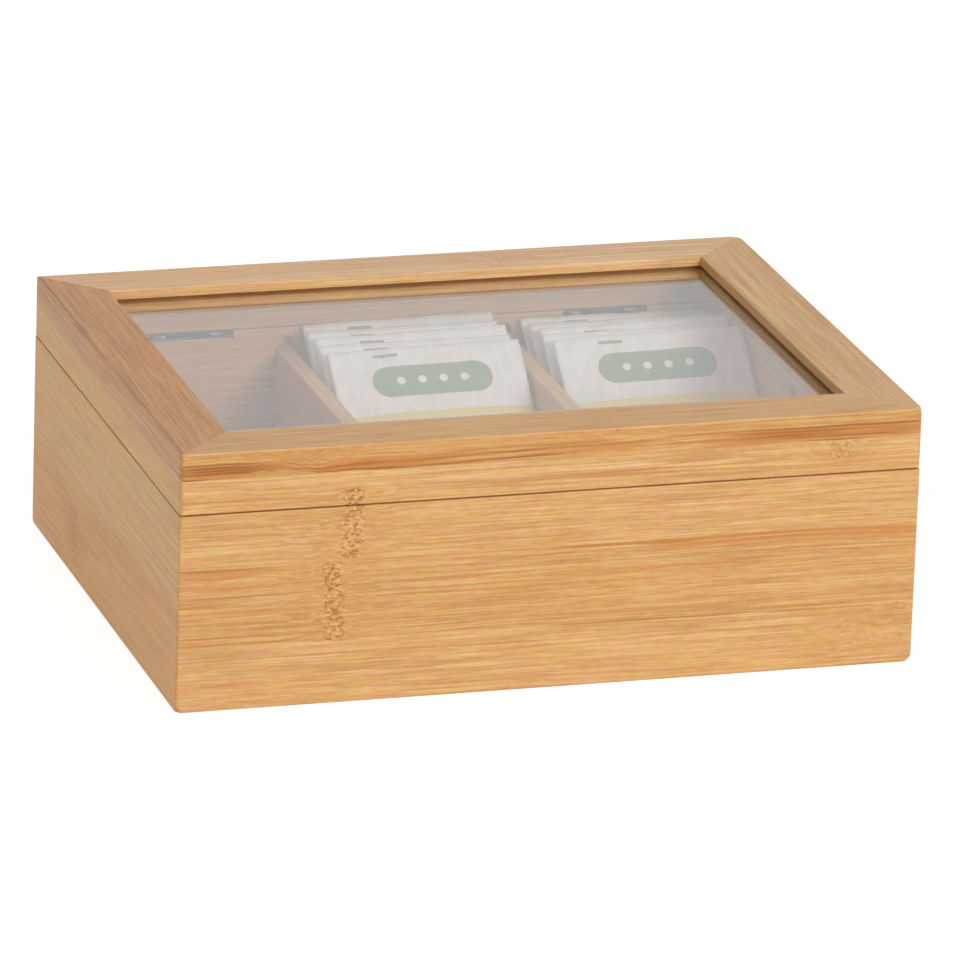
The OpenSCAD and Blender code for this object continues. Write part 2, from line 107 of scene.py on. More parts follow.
class NodeBoard:
    """The node tree of a material or world, with short calls for the nodes that are used."""

    def __init__(self, owner: Union[bpy.types.Material, bpy.types.World]) -> None:
        """Starts with an empty tree.

        Args:
            owner: the material or world.
        """
        owner.use_nodes = True
        self.owner = owner
        self.tree = owner.node_tree
        self.tree.nodes.clear()
        kind = "World" if isinstance(owner, bpy.types.World) else "Material"
        self.output = self.add(f"Output{kind}")

    def plug(self, socket: Output, value: Socket) -> None:
        """Links a socket to another, or sets its value.

        Args:
            socket: input socket.
            value: output socket, number or colour.
        """
        if isinstance(value, Output):
            self.tree.links.new(value, socket)
        elif isinstance(value, (int, float)):
            socket.default_value = value
        else:
            size = len(socket.default_value)
            socket.default_value = (tuple(value) + (1.0,))[:size]

    def add(self, kind: str, **inputs: Socket) -> bpy.types.Node:
        """Adds a node and fills its inputs, whose names have _ for a space.

        Args:
            kind: node type, without the word ShaderNode before it.
            inputs: values or sockets for the named inputs.

        Returns:
            The new node.
        """
        node = self.tree.nodes.new(f"ShaderNode{kind}")
        for name, value in inputs.items():
            self.plug(node.inputs[name.replace("_", " ")], value)
        return node

    def math(self, operation: str, *values: Socket) -> Output:
        """Adds a Math node.

        Args:
            operation: Blender's name of the operation.
            values: its operands.

        Returns:
            The result's socket.
        """
        node = self.add("Math")
        node.operation = operation
        for socket, value in zip(node.inputs, values):
            self.plug(socket, value)
        return node.outputs[0]

    def product(self, *factors: Socket) -> Socket:
        """Multiplies all the factors."""
        return reduce(lambda first, second: self.math("MULTIPLY", first, second), factors)

    def distance(self, value: Socket, middle: Socket) -> Output:
        """Gives how far a value is from a middle: |value - middle|."""
        return self.math("ABSOLUTE", self.math("SUBTRACT", value, middle))

    def length(self, x: Socket, y: Socket) -> Output:
        """Gives the length of (x, y): the root of x squared plus y squared."""
        return self.math("SQRT", self.math("MULTIPLY_ADD", x, x, self.product(y, y)))

    def centred(self, value: Socket, reach: float) -> Socket:
        """Moves a noise from around 0.5 to around 0 and scales it: (value - 0.5) reach."""
        return self.product(self.math("SUBTRACT", value, 0.5), reach)

    def span(self, value: Socket, low: float, high: float, to_low: float = 0.0,
             to_high: float = 1.0) -> Output:
        """Maps low..high onto to_low..to_high as a smooth step, held at both ends.

        Args:
            value: the value to map.
            low: value that gives to_low.
            high: value that gives to_high.
            to_low: lower result.
            to_high: upper result.

        Returns:
            The mapped value's socket.
        """
        node = self.add("MapRange", Value=value, From_Min=low, From_Max=high,
                        To_Min=to_low, To_Max=to_high)
        node.interpolation_type = "SMOOTHSTEP"
        return node.outputs["Result"]

    def between(self, value: Socket, low: float, high: float, soft: float) -> Socket:
        """Gives 1 from low to high and 0 beyond, and fades at each end over soft to both sides."""
        return self.product(self.span(value, low - soft, low + soft),
                            self.span(value, high - soft, high + soft, 1.0, 0.0))

    def noise(self, place: Sequence[Socket], scales: Sequence[float],
              shifts: Sequence[Socket] = (0.0, 0.0, 0.0), detail: float = 2.0,
              roughness: float = 0.5, distortion: float = 0.0) -> Output:
        """Adds a 3D noise that is read at place times scales plus shifts.

        Args:
            place: three places.
            scales: frequency along each of them.
            shifts: shift along each of them.
            detail: number of octaves.
            roughness: how strong the fine octaves are.
            distortion: how far the noise is warped.

        Returns:
            The noise's socket, which lies around 0.5.
        """
        spot = self.add("CombineXYZ")
        for socket, value, scale, shift in zip(spot.inputs, place, scales, shifts):
            self.plug(socket, self.math("MULTIPLY_ADD", value, scale, shift))
        return self.add("TexNoise", Vector=spot.outputs[0], Scale=1.0, Detail=detail,
                        Roughness=roughness, Distortion=distortion).outputs[0]

    def mix(self, share: Socket, first: Socket, second: Socket, blend: str = "MIX") -> Output:
        """Mixes two colours.

        Args:
            share: share of the second colour.
            first: first colour.
            second: second colour.
            blend: blend mode.

        Returns:
            The mixed colour's socket.
        """
        node = self.add("Mix")
        node.data_type = "RGBA"
        node.blend_type = blend
        for number, value in ((0, share), (6, first), (7, second)):
            self.plug(node.inputs[number], value)
        return node.outputs[2]

    def split(self, vector: Output) -> tuple[Output, ...]:
        """Splits a vector into the sockets of its three numbers."""
        return tuple(self.add("SeparateXYZ", Vector=vector).outputs)

    def place(self) -> tuple[Output, ...]:
        """Gives the place on the object, as sockets of x, y and z in metres."""
        return self.split(self.add("TexCoord").outputs["Object"])

    def bump(self, height: Socket, strength: float, distance: float) -> Output:
        """Gives the normal bent by a share strength of a relief, distance metres deep at height 1."""
        return self.add("Bump", Height=height, Strength=strength, Distance=distance).outputs[0]

    def seen(self, mirrored: float) -> Output:
        """Adds a switch for what the camera sees.

        Args:
            mirrored: value for glossy rays.

        Returns:
            1 for camera and transmission rays, mirrored for glossy rays, and 0 for others.
        """
        path = self.add("LightPath").outputs
        direct = self.math("MAXIMUM", path["Is Camera Ray"], path["Is Transmission Ray"])
        return self.math("MAXIMUM", direct, self.product(path["Is Glossy Ray"], mirrored))

    def surface(self, shader: bpy.types.Node) -> Union[bpy.types.Material, bpy.types.World]:
        """Puts a shader on the surface and gives the finished material or world."""
        self.plug(self.output.inputs["Surface"], shader.outputs[0])
        return self.owner


# ------------ bamboo


# Each fibre layer: cycles per metre along the grain and across it, and octaves.
FIBRE_LAYERS = {"patch": (20.0, 85.0, 2.0), "band": (7.0, 250.0, 2.0), "streak": (16.0, 1050.0, 1.0),
                "fibre": (34.0, 1600.0, 1.5), "fine": (105.0, 2500.0, 1.0), "fleck": (300.0, 1750.0, 1.0),
                "line": (12.0, 900.0, 1.0), "hue": (130.0, 420.0, 3.0)}
LAYER_STEP = 11.7
STRIP_STEP = 7.31
# How much each layer adds to the tone, and the tones of the palette's four colours.
TONE_WEIGHTS = {"patch": 0.06, "band": 0.04, "streak": 0.045, "fibre": 0.185, "fleck": 0.11, "fine": 0.11}
TONE_MIDDLE = 0.48
STRIP_VARIATION = 0.10
TONE_STOPS = {"dark": 0.0, "warm": 0.30, "middle": 0.52, "pale": 0.78}
PINKISH = (1.014, 0.955, 1.045)
YELLOWISH = (0.988, 1.035, 0.91)
# Brown of the painted shade where the left rail's top turns into its rounded edge.
EDGE_SHADE_BROWN = srgb(124, 80, 48)
PORES = (760.0, 1250.0, 1250.0)
# Sizes of the pattern, the last two in millimetres and the others in metres.
GLUE_LINE = (0.10 * MM, 0.42 * MM)
RING_SOFT = 0.7 * MM
RING_RAGGED = 3.6 * MM
SWIRL_WIDTH = 14.0 * MM
SWIRL_PUSH = 5.0 * MM
SLOW_PUSH = 2.2 * MM
VEIN_WAVER = 1.3 * MM
VEIN_FADE = 8.0 * MM
EDGE_SHADE_WANDER = 0.9 * MM
TOP_FACE = (75.0 * MM, 75.3 * MM)
RING_FADE = (-1.3, 1.0)
VEIN_RUN_OUT = 4.0
# Ranges of a noise over which parts of the pattern fade, and the least and most that is then left of them.
FADES = {"tone": (0.34, 0.66), "hue": (0.36, 0.64), "line": (0.01, 0.13), "lined": (0.38, 0.62),
         "glue": (0.46, 0.64), "broken": (0.36, 0.52), "pit": (0.51, 0.61), "ridge": (0.45, 0.36),
         "rough": (0.35, 0.65)}
LEFT = {"line": (0.10, 0.38), "glue": (0.2, 1.0), "vein": (0.55, 1.0), "edge": (0.65, 1.0),
        "pit": (0.0, 0.80), "ridge": (0.0, 0.62)}
# Strengths of the colours laid over a knuckle and of the painted edge shade, and where the sides of a streak
# and of the painted edge shade begin and end to fade, as shares of half their thickness.
AREA_WARMTH = 0.24
RING_WARMTH = 0.30
EDGE_SHADE_STRENGTH = 0.85
VEIN_SIDES = (0.45, 1.35)
EDGE_SHADE_SIDES = (0.1, 1.0)


@dataclass(frozen=True)
class Knuckle:
    """A ring of the cane, where the fibres of one strip swirl.

    The places are millimetres: along the grain at the strip's low and high
    side, then the strip's low and high side themselves.
    """

    along_low: float
    along_high: float
    low: float
    high: float
    half_width: float = 3.2
    depth: float = 1.0
    swirl: float = 1.0


@dataclass(frozen=True)
class Vein:
    """One long streak in a board, in millimetres.

    It runs along the grain from start to end at a height that goes from rise
    to fall, and half is half its thickness. A depth of 0 colours it warm, and
    1 colours it dark.
    """

    start: float
    end: float
    rise: float
    fall: float
    half: float
    strength: float
    depth: float = 0.0


@dataclass(frozen=True)
class BambooFinish:
    """Lacquered bamboo: glued strips of long fibres, with knuckles and streaks.

    edges are the glue lines between strips, in millimetres. edge_shade is the
    place and the half width of a brown line on the top face: painted shade
    where the top turns into the rounded edge. side_tone multiplies the colour
    below tone_heights, the millimetres between which it fades out; on the rear
    rail it is painted light.
    """

    name: str
    grain: Grain
    seed: float
    across: Across = Across.HEIGHT
    edges: tuple[float, ...] = ()
    edge_strength: float = 0.30
    knuckles: tuple[Knuckle, ...] = ()
    veins: tuple[Vein, ...] = ()
    edge_shade: Optional[tuple[float, float]] = None
    side_tone: Optional[Colour] = None
    tone_heights: tuple[float, float] = (74.9, 75.3)
    pale: Colour = srgb(235, 193, 136)
    middle: Colour = srgb(221, 171, 110)
    warm: Colour = srgb(209, 150, 86)
    dark: Colour = srgb(166, 106, 48)
    streak: Colour = srgb(200, 127, 56)
    deep: Colour = srgb(118, 60, 14)
    contrast: float = 1.0
    roughness: float = 0.42
    gloss: float = 0.36

    def build(self) -> bpy.types.Material:
        """Builds the material."""
        return BambooPattern(self).build()


class BambooPattern(NodeBoard):
    """Node tree of a bamboo finish.

    The tone at a place is the sum of noises that are stretched along the
    grain, from patches of 50 mm down to fibres of 0.4 mm. Close to a knuckle
    the place is pushed across the grain, so that the fibres swirl round it.
    """

    def __init__(self, finish: BambooFinish) -> None:
        """Works out the places, the knuckles' masks and the fibre layers.

        Args:
            finish: the finish to draw.
        """
        super().__init__(bpy.data.materials.new(finish.name))
        self.wood = finish
        x, y, self.z = self.place()
        self.along, self.wide = (x, y) if finish.grain is Grain.ALONG_X else (y, x)
        self.stacked = self.z if finish.across is Across.HEIGHT else self.wide
        self.ring, self.area = self._knuckle_masks()
        swirl = self._swirl()
        self.wide = self.math("ADD", self.wide, swirl)
        self.height = self.math("ADD", self.z, swirl)
        self.strip = self._strip_number()
        self.layers = self._fibres()
        self.pores = self.noise((self.along, self.z, self.wide), PORES, (0.0, 0.0, finish.seed + 4.0),
                                detail=1.0, distortion=0.6)

    def build(self) -> bpy.types.Material:
        """Puts the colour and the relief on a satin surface.

        Returns:
            The finished material.
        """
        middle = self.wood.roughness
        rough = self.span(self.layers["fine"], *FADES["rough"], middle - 0.05, middle + 0.06)
        return self.surface(self.add("BsdfPrincipled", Base_Color=self._colour(), Roughness=rough,
                                     Normal=self.bump(self._relief(), 0.35, 0.06 * MM),
                                     Specular_IOR_Level=self.wood.gloss))

    def _knuckle_masks(self) -> tuple[Socket, Socket]:
        """Marks the rings of the knuckles and the area round them.

        A ring's middle slopes from along_low at low to along_high at high. Its
        mask is depth within half_width of that, with ragged sides.

        Returns:
            The rings' mask, and a wide one: exp(-(distance / SWIRL_WIDTH) ** 2).
        """
        ring: Socket = 0.0
        area: Socket = 0.0
        ragged = self.noise((self.along, self.stacked, self.wood.seed), (420.0, 900.0, 1.0))
        for knuckle in self.wood.knuckles:
            slope = (knuckle.along_high - knuckle.along_low) / (knuckle.high - knuckle.low)
            start = (knuckle.along_low - slope * knuckle.low) * MM
            distance = self.distance(self.along, self.math("MULTIPLY_ADD", self.stacked, slope, start))
            roughened = self.math("ADD", distance, self.centred(ragged, RING_RAGGED))
            inside = self.between(self.stacked, knuckle.low * MM, knuckle.high * MM, RING_SOFT)
            near, far = ((knuckle.half_width + fade) * MM for fade in RING_FADE)
            ring = self.math("MULTIPLY_ADD", self.span(roughened, near, far, knuckle.depth, 0.0), inside, ring)
            ratio = self.math("DIVIDE", distance, SWIRL_WIDTH)
            fall = self.math("EXPONENT", self.product(ratio, ratio, -1.0))
            area = self.math("ADD", area, self.product(fall, inside, knuckle.swirl))
        return ring, area

    def _swirl(self) -> Socket:
        """Works out how far the fibres are pushed across the grain.

        Returns:
            A slow noise times SLOW_PUSH, plus a quick one times SWIRL_PUSH and
            the wide mask, in metres.
        """
        place = (self.along, self.wide, self.z)
        slow = self.noise(place, (18.0, 60.0, 60.0), (0.0, 0.0, self.wood.seed * 3.1), detail=1.0)
        push = self.centred(slow, SLOW_PUSH)
        if self.wood.knuckles:
            quick = self.noise(place, (110.0, 170.0, 170.0), (0.0, 0.0, self.wood.seed * 5.7))
            push = self.math("MULTIPLY_ADD", self.centred(quick, SWIRL_PUSH), self.area, push)
        return push

    def _strip_number(self) -> Socket:
        """Numbers the strips.

        Returns:
            The finish's seed plus the count of glue lines below the place.
        """
        number: Socket = self.wood.seed
        for edge in self.wood.edges:
            number = self.math("ADD", number, self.math("GREATER_THAN", self.stacked, edge * MM))
        return number

    def _fibres(self) -> dict[str, Socket]:
        """Makes the noises that are stretched along the grain.

        Returns:
            The noises by name, each around 0.5.
        """
        layers: dict[str, Socket] = {}
        place = (self.along, self.wide, self.height)
        for number, (name, (lengthwise, crosswise, detail)) in enumerate(FIBRE_LAYERS.items()):
            shift = self.math("MULTIPLY_ADD", self.strip, STRIP_STEP, number * LAYER_STEP)
            scales = (lengthwise, crosswise, crosswise)
            layers[name] = self.noise(place, scales, (shift, 0.0, 0.0), detail, 0.55)
        return layers

    def _toned(self) -> Socket:
        """Turns the layers into the colour of a board without knuckles and streaks.

        The tone is TONE_MIDDLE plus the sum of weight (layer - 0.5), and the
        ramp turns it into a colour from dark to pale. The hue layer shifts it
        between pinkish and yellowish, and thin dark lines follow the places
        where the line layer crosses 0.5.

        Returns:
            The colour.
        """
        wood = self.wood
        white = self.add("TexWhiteNoise")
        white.noise_dimensions = "1D"
        self.plug(white.inputs["W"], self.strip)
        tone: Socket = TONE_MIDDLE - sum(TONE_WEIGHTS.values()) * wood.contrast / 2
        tone = self.math("MULTIPLY_ADD", white.outputs["Value"], STRIP_VARIATION, tone)
        for name, weight in TONE_WEIGHTS.items():
            layer = self.span(self.layers[name], *FADES["tone"])
            tone = self.math("MULTIPLY_ADD", layer, weight * wood.contrast, tone)
        ramp = self.add("ValToRGB", Fac=tone)
        stops = ramp.color_ramp.elements
        stops[1].position = TONE_STOPS["pale"]
        stops[1].color = (*wood.pale, 1.0)
        stops[0].position = TONE_STOPS["dark"]
        stops[0].color = (*wood.dark, 1.0)
        for name in ("warm", "middle"):
            stops.new(TONE_STOPS[name]).color = (*getattr(wood, name), 1.0)
        hue = self.mix(self.span(self.layers["hue"], *FADES["hue"]), PINKISH, YELLOWISH)
        colour = self.mix(1.0, ramp.outputs[0], hue, "MULTIPLY")
        line = self.span(self.distance(self.layers["line"], 0.5), *FADES["line"], 1.0, 0.0)
        least, most = LEFT["line"]
        lined = self.span(self.layers["patch"], *FADES["lined"], least, most * wood.contrast)
        return self.mix(self.product(line, lined), colour, wood.dark)

    def _veined(self, colour: Socket, vein: Vein) -> Socket:
        """Lays one streak over the colour.

        Its strength falls off smoothly across its thickness and towards both
        ends, and the fibres break it up.

        Args:
            colour: the colour so far.
            vein: the streak.

        Returns:
            The colour with the streak.
        """
        slope = (vein.fall - vein.rise) / (vein.end - vein.start)
        middle = self.math("MULTIPLY_ADD", self.along, slope, (vein.rise - slope * vein.start) * MM)
        middle = self.math("ADD", middle, self.centred(self.layers["patch"], VEIN_WAVER))
        near, far = (share * (vein.half * MM) for share in VEIN_SIDES)
        across = self.span(self.distance(self.height, middle), near, far, 1.0, 0.0)
        first, last = (vein.start + VEIN_RUN_OUT) * MM, (vein.end - VEIN_RUN_OUT) * MM
        ends = self.between(self.along, first, last, VEIN_FADE)
        broken = self.span(self.layers["fibre"], *FADES["broken"], *LEFT["vein"])
        shade = self.mix(vein.depth, self.wood.streak, self.wood.deep)
        return self.mix(self.product(across, ends, broken, vein.strength), colour, shade)

    def _colour(self) -> Socket:
        """Lays glue lines, streaks, knuckles, the painted edge shade and the side tone,
        which is painted light on the rear rail, over the tone.

        Returns:
            The colour.
        """
        wood = self.wood
        colour = self._toned()
        for edge in wood.edges:
            line = self.span(self.distance(self.stacked, edge * MM), *GLUE_LINE, 1.0, 0.0)
            least, most = (share * wood.edge_strength for share in LEFT["glue"])
            broken = self.span(self.layers["patch"], *FADES["glue"], least, most)
            colour = self.mix(self.product(line, broken), colour, wood.dark)
        for vein in wood.veins:
            colour = self._veined(colour, vein)
        if wood.knuckles:
            pits, ridges = (self.span(self.pores, *FADES[name], *LEFT[name]) for name in ("pit", "ridge"))
            for mask, share, shade in (
                    (self.area, AREA_WARMTH, wood.warm), (self.ring, RING_WARMTH, wood.warm),
                    (self.ring, pits, wood.dark), (self.ring, ridges, wood.pale)):
                colour = self.mix(self.product(mask, share), colour, shade)
        # Painted shade: a broken brown line on the top face, where it turns into the rounded edge.
        if wood.edge_shade:
            middle, half = (size * MM for size in wood.edge_shade)
            place = self.math("ADD", self.centred(self.layers["patch"], EDGE_SHADE_WANDER), middle)
            near, far = (share * half for share in EDGE_SHADE_SIDES)
            line = self.span(self.distance(self.stacked, place), near, far, EDGE_SHADE_STRENGTH, 0.0)
            broken = self.span(self.layers["band"], *FADES["broken"], *LEFT["edge"])
            colour = self.mix(self.product(line, self.span(self.z, *TOP_FACE), broken), colour, EDGE_SHADE_BROWN)
        # The side tone: on the rear rail, painted light on the faces below its top.
        if wood.side_tone:
            low, high = (height * MM for height in wood.tone_heights)
            toned = self.mix(1.0, colour, wood.side_tone, "MULTIPLY")
            colour = self.mix(self.span(self.z, low, high, 1.0, 0.0), colour, toned)
        return colour

    def _relief(self) -> Socket:
        """Gives the height of the surface: 0.6 fibre + 0.4 fine - 0.9 ring pores."""
        relief = self.math("MULTIPLY_ADD", self.layers["fibre"], 0.6, self.product(self.layers["fine"], 0.4))
        return self.math("SUBTRACT", relief, self.product(self.ring, self.pores, 0.9))


# ------------ pane, metal, paper


@dataclass(frozen=True)
class PaneFinish:
    """Clear pane that refracts on both faces, with faint smears in its gloss."""

    name: str = "clear_pane_sheet"
    tint: Colour = (0.965, 0.972, 0.970)
    index: float = 1.49
    clarity: float = 0.97
    haze: float = 0.035

    def build(self) -> bpy.types.Material:
        """Builds the material.

        Shadow and diffuse rays go through it unbent. It lets pass the share
        clarity (1 - R) ** 2, where R is the Fresnel reflection of one face.

        Returns:
            The finished material.
        """
        board = NodeBoard(bpy.data.materials.new(self.name))
        smear = board.noise(board.place(), (14.0, 30.0, 1.0), detail=3.0)
        glass = board.add("BsdfPrincipled", Base_Color=self.tint, IOR=self.index,
                          Roughness=board.span(smear, 0.45, 0.80, 0.0, self.haze), Transmission_Weight=1.0)
        passed = board.math("SUBTRACT", 1.0, board.add("Fresnel", IOR=self.index).outputs[0])
        inside = board.add("NewGeometry").outputs["Backfacing"]
        share = board.math("MAXIMUM", board.product(passed, passed, self.clarity), inside)
        clear = board.add("BsdfTransparent", Color=share)
        path = board.add("LightPath").outputs
        soft = board.math("MAXIMUM", path["Is Shadow Ray"], path["Is Diffuse Ray"])
        mixed = board.add("MixShader")
        for number, value in enumerate((soft, glass.outputs[0], clear.outputs[0])):
            board.plug(mixed.inputs[number], value)
        return board.surface(mixed)


@dataclass(frozen=True)
class SteelFinish:
    """Plated steel with fine drawing lines, cloudy gloss and a few dull spots."""

    name: str
    colour: Colour
    dull: Colour
    roughness: float
    metal: float = 1.0

    def build(self) -> bpy.types.Material:
        """Builds the material.

        Returns:
            The finished material.
        """
        board = NodeBoard(bpy.data.materials.new(self.name))
        place = board.place()
        lines = board.noise(place, (300.0, 5200.0, 5200.0))
        cloud = board.noise(place, (260.0,) * 3, detail=3.0, roughness=0.6)
        colour = board.mix(board.span(cloud, 0.48, 0.78, 0.0, 0.30), self.colour, self.dull)
        colour = board.mix(board.span(lines, 0.40, 0.65, 0.0, 0.12), colour, self.dull)
        rough = board.span(cloud, 0.35, 0.70, self.roughness - 0.06, self.roughness + 0.12)
        return board.surface(board.add("BsdfPrincipled", Base_Color=colour, Metallic=self.metal,
                                       Roughness=rough, Normal=board.bump(lines, 0.25, 0.02 * MM)))


@dataclass(frozen=True)
class SachetPrint:
    """Plain print of a sachet, in millimetres from the middle and from the top edge."""

    panel_middle: tuple[float, float] = (0.5, 11.4)
    panel_half: tuple[float, float] = (18.0, 5.2)
    panel_round: float = 5.1
    dot_pitch: float = 6.4
    dot_radius: float = 1.25
    dots_half: float = 12.75
    dash_middle: tuple[float, float] = (-12.0, 2.4)
    dash_half: float = 3.2
    dash_round: float = 0.55
    stripe_top: float = 21.6
    stripe_width: float = 2.3
    line_gap: float = 1.2
    line_edges: tuple[float, float] = (0.25, 0.4)
    soft: float = 0.12


@dataclass(frozen=True)
class PaperFinish:
    """Matt coated paper with crimped seals, soft folds and a plain two-colour print."""

    name: str = "printed_sachet_paper"
    paper: Colour = srgb(250, 243, 238)
    shaded: Colour = srgb(226, 216, 210)
    sage: Colour = srgb(134, 156, 118)
    straw: Colour = srgb(245, 217, 118)
    design: SachetPrint = field(default_factory=SachetPrint)
    half_width: float = 28.93
    height: float = 68.0
    seal: float = 5.0
    rib_pitch: float = 0.9

    def build(self) -> bpy.types.Material:
        """Builds the material."""
        return PaperPattern(self).build()


class PaperPattern(NodeBoard):
    """Node tree of the sachets' paper.

    The piece's UV map holds, in metres, the distance to the right of the
    sachet's middle, and the distance down from its top edge.
    """

    def __init__(self, finish: PaperFinish) -> None:
        """Reads the place on the sheet, in millimetres.

        Args:
            finish: the finish to draw.
        """
        super().__init__(bpy.data.materials.new(finish.name))
        self.sheet = finish
        uv = self.add("UVMap")
        uv.uv_map = "sachet"
        self.right, self.down = (self.math("DIVIDE", part, MM) for part in self.split(uv.outputs[0])[:2])

    def build(self) -> bpy.types.Material:
        """Lays the painted shade of the creases and folds, and the print, over the paper.

        The relief is 0.15 grain + 0.5 crease + 0.45 ribs + 1.1 folds, where
        the folds are a noise that is stretched downwards.

        Returns:
            The finished material.
        """
        sheet = self.sheet
        place = self.place()
        grain = self.noise(place, (900.0,) * 3, detail=3.0, roughness=0.6)
        crease = self.noise(place, (120.0,) * 3, distortion=0.4)
        folds = self.noise((self.right, self.down, place[1]), (0.34, 0.05, 75.0),
                           roughness=0.55, distortion=0.3)
        # Painted shade in the creases and folds: their noises mix the paper towards the shaded colour.
        colour = self.mix(self.span(crease, 0.42, 0.68, 0.0, 0.40), sheet.paper, sheet.shaded)
        colour = self.mix(self.span(folds, 0.42, 0.66, 0.0, 0.36), colour, sheet.shaded)
        ink = self.span(grain, 0.30, 0.60, 0.86, 1.0)
        for mask, shade in self._printed():
            colour = self.mix(self.product(mask, ink), colour, shade)
        relief: Socket = 0.0
        for height, share in ((grain, 0.15), (crease, 0.5), (self._ribs(), 0.45), (folds, 1.1)):
            relief = self.math("MULTIPLY_ADD", height, share, relief)
        return self.surface(self.add("BsdfPrincipled", Base_Color=colour,
                                     Roughness=self.span(grain, 0.3, 0.7, 0.50, 0.62),
                                     Normal=self.bump(relief, 0.6, 0.25 * MM), Specular_IOR_Level=0.35))

    def _beyond(self, value: Socket, middle: float, half: float) -> Socket:
        """Gives how far a value lies outside middle - half to middle + half."""
        return self.math("MAXIMUM", self.math("SUBTRACT", self.distance(value, middle), half), 0.0)

    def _printed(self) -> list[tuple[Socket, Colour]]:
        """Draws the print as masks.

        A rounded panel is the set of points nearer than its rounding to an
        inner box: the distance is the length of (|p| - half + round), held
        above 0. Pale dots are left out of it in a row, a stripe and a line run
        below, and a short dash stands near the top.

        Returns:
            Pairs of a mask and its ink.
        """
        d = self.sheet.design
        right, down = self.right, self.down
        reach = self.length(*(self._beyond(part, middle, half - d.panel_round) for part, middle, half
                              in zip((right, down), d.panel_middle, d.panel_half)))
        panel = self.span(reach, d.panel_round - d.soft, d.panel_round + d.soft, 1.0, 0.0)
        aside = self.math("SUBTRACT", right, d.panel_middle[0])
        cell = self.math("SUBTRACT", self.math("WRAP", aside, d.dot_pitch, 0.0), d.dot_pitch / 2)
        dots = self.span(self.length(cell, self.math("SUBTRACT", down, d.panel_middle[1])),
                         d.dot_radius - d.soft, d.dot_radius + d.soft)
        outer = self.span(self.distance(aside, 0.0), d.dots_half - 0.15, d.dots_half + 0.15)
        panel = self.product(panel, self.math("MAXIMUM", dots, outer))
        tip = self.length(self._beyond(right, d.dash_middle[0], d.dash_half),
                          self.math("SUBTRACT", down, d.dash_middle[1]))
        dash = self.span(tip, d.dash_round - 0.1, d.dash_round + 0.1, 1.0, 0.0)
        foot = d.stripe_top + d.stripe_width
        stripe = self.between(down, d.stripe_top + 0.1, foot + 0.1, 0.1)
        line = self.span(self.distance(down, foot + d.line_gap), *d.line_edges, 1.0, 0.0)
        half = self.sheet.half_width
        inside = self.span(self.distance(right, 0.0), half - 0.2, half, 1.0, 0.0)
        lines = self.product(self.math("MAXIMUM", stripe, line), inside)
        return [(panel, self.sheet.sage), (dash, self.sheet.sage), (lines, self.sheet.straw)]

    def _ribs(self) -> Socket:
        """Makes the ribs pressed into the seals.

        Along the top and bottom seals the ribs are level and a pitch apart:
        0.5 + 0.5 sin(2 pi down / pitch). The side seals have none.

        Returns:
            The height of the ribs.
        """
        seal, foot = self.sheet.seal, self.sheet.height - self.sheet.seal
        wave = self.math("SINE", self.product(self.down, 2 * math.pi / self.sheet.rib_pitch))
        ends = self.math("MAXIMUM", self.span(self.down, seal - 0.4, seal, 1.0, 0.0),
                         self.span(self.down, foot, foot + 0.4))
        return self.product(self.math("MULTIPLY_ADD", wave, 0.5, 0.5), ends)


# ------------ sachets


@dataclass(frozen=True)
class Bay:
    """A compartment that holds a stack of sachets, in metres and degrees.

    slides says how far the rear sachet and the others are pushed aside, from
    -1 to 1, and seed starts the random numbers of the stack.
    """

    name: str
    left: float
    right: float
    foot_pitch: float
    rear_tilt: float
    slides: tuple[float, float]
    seed: int


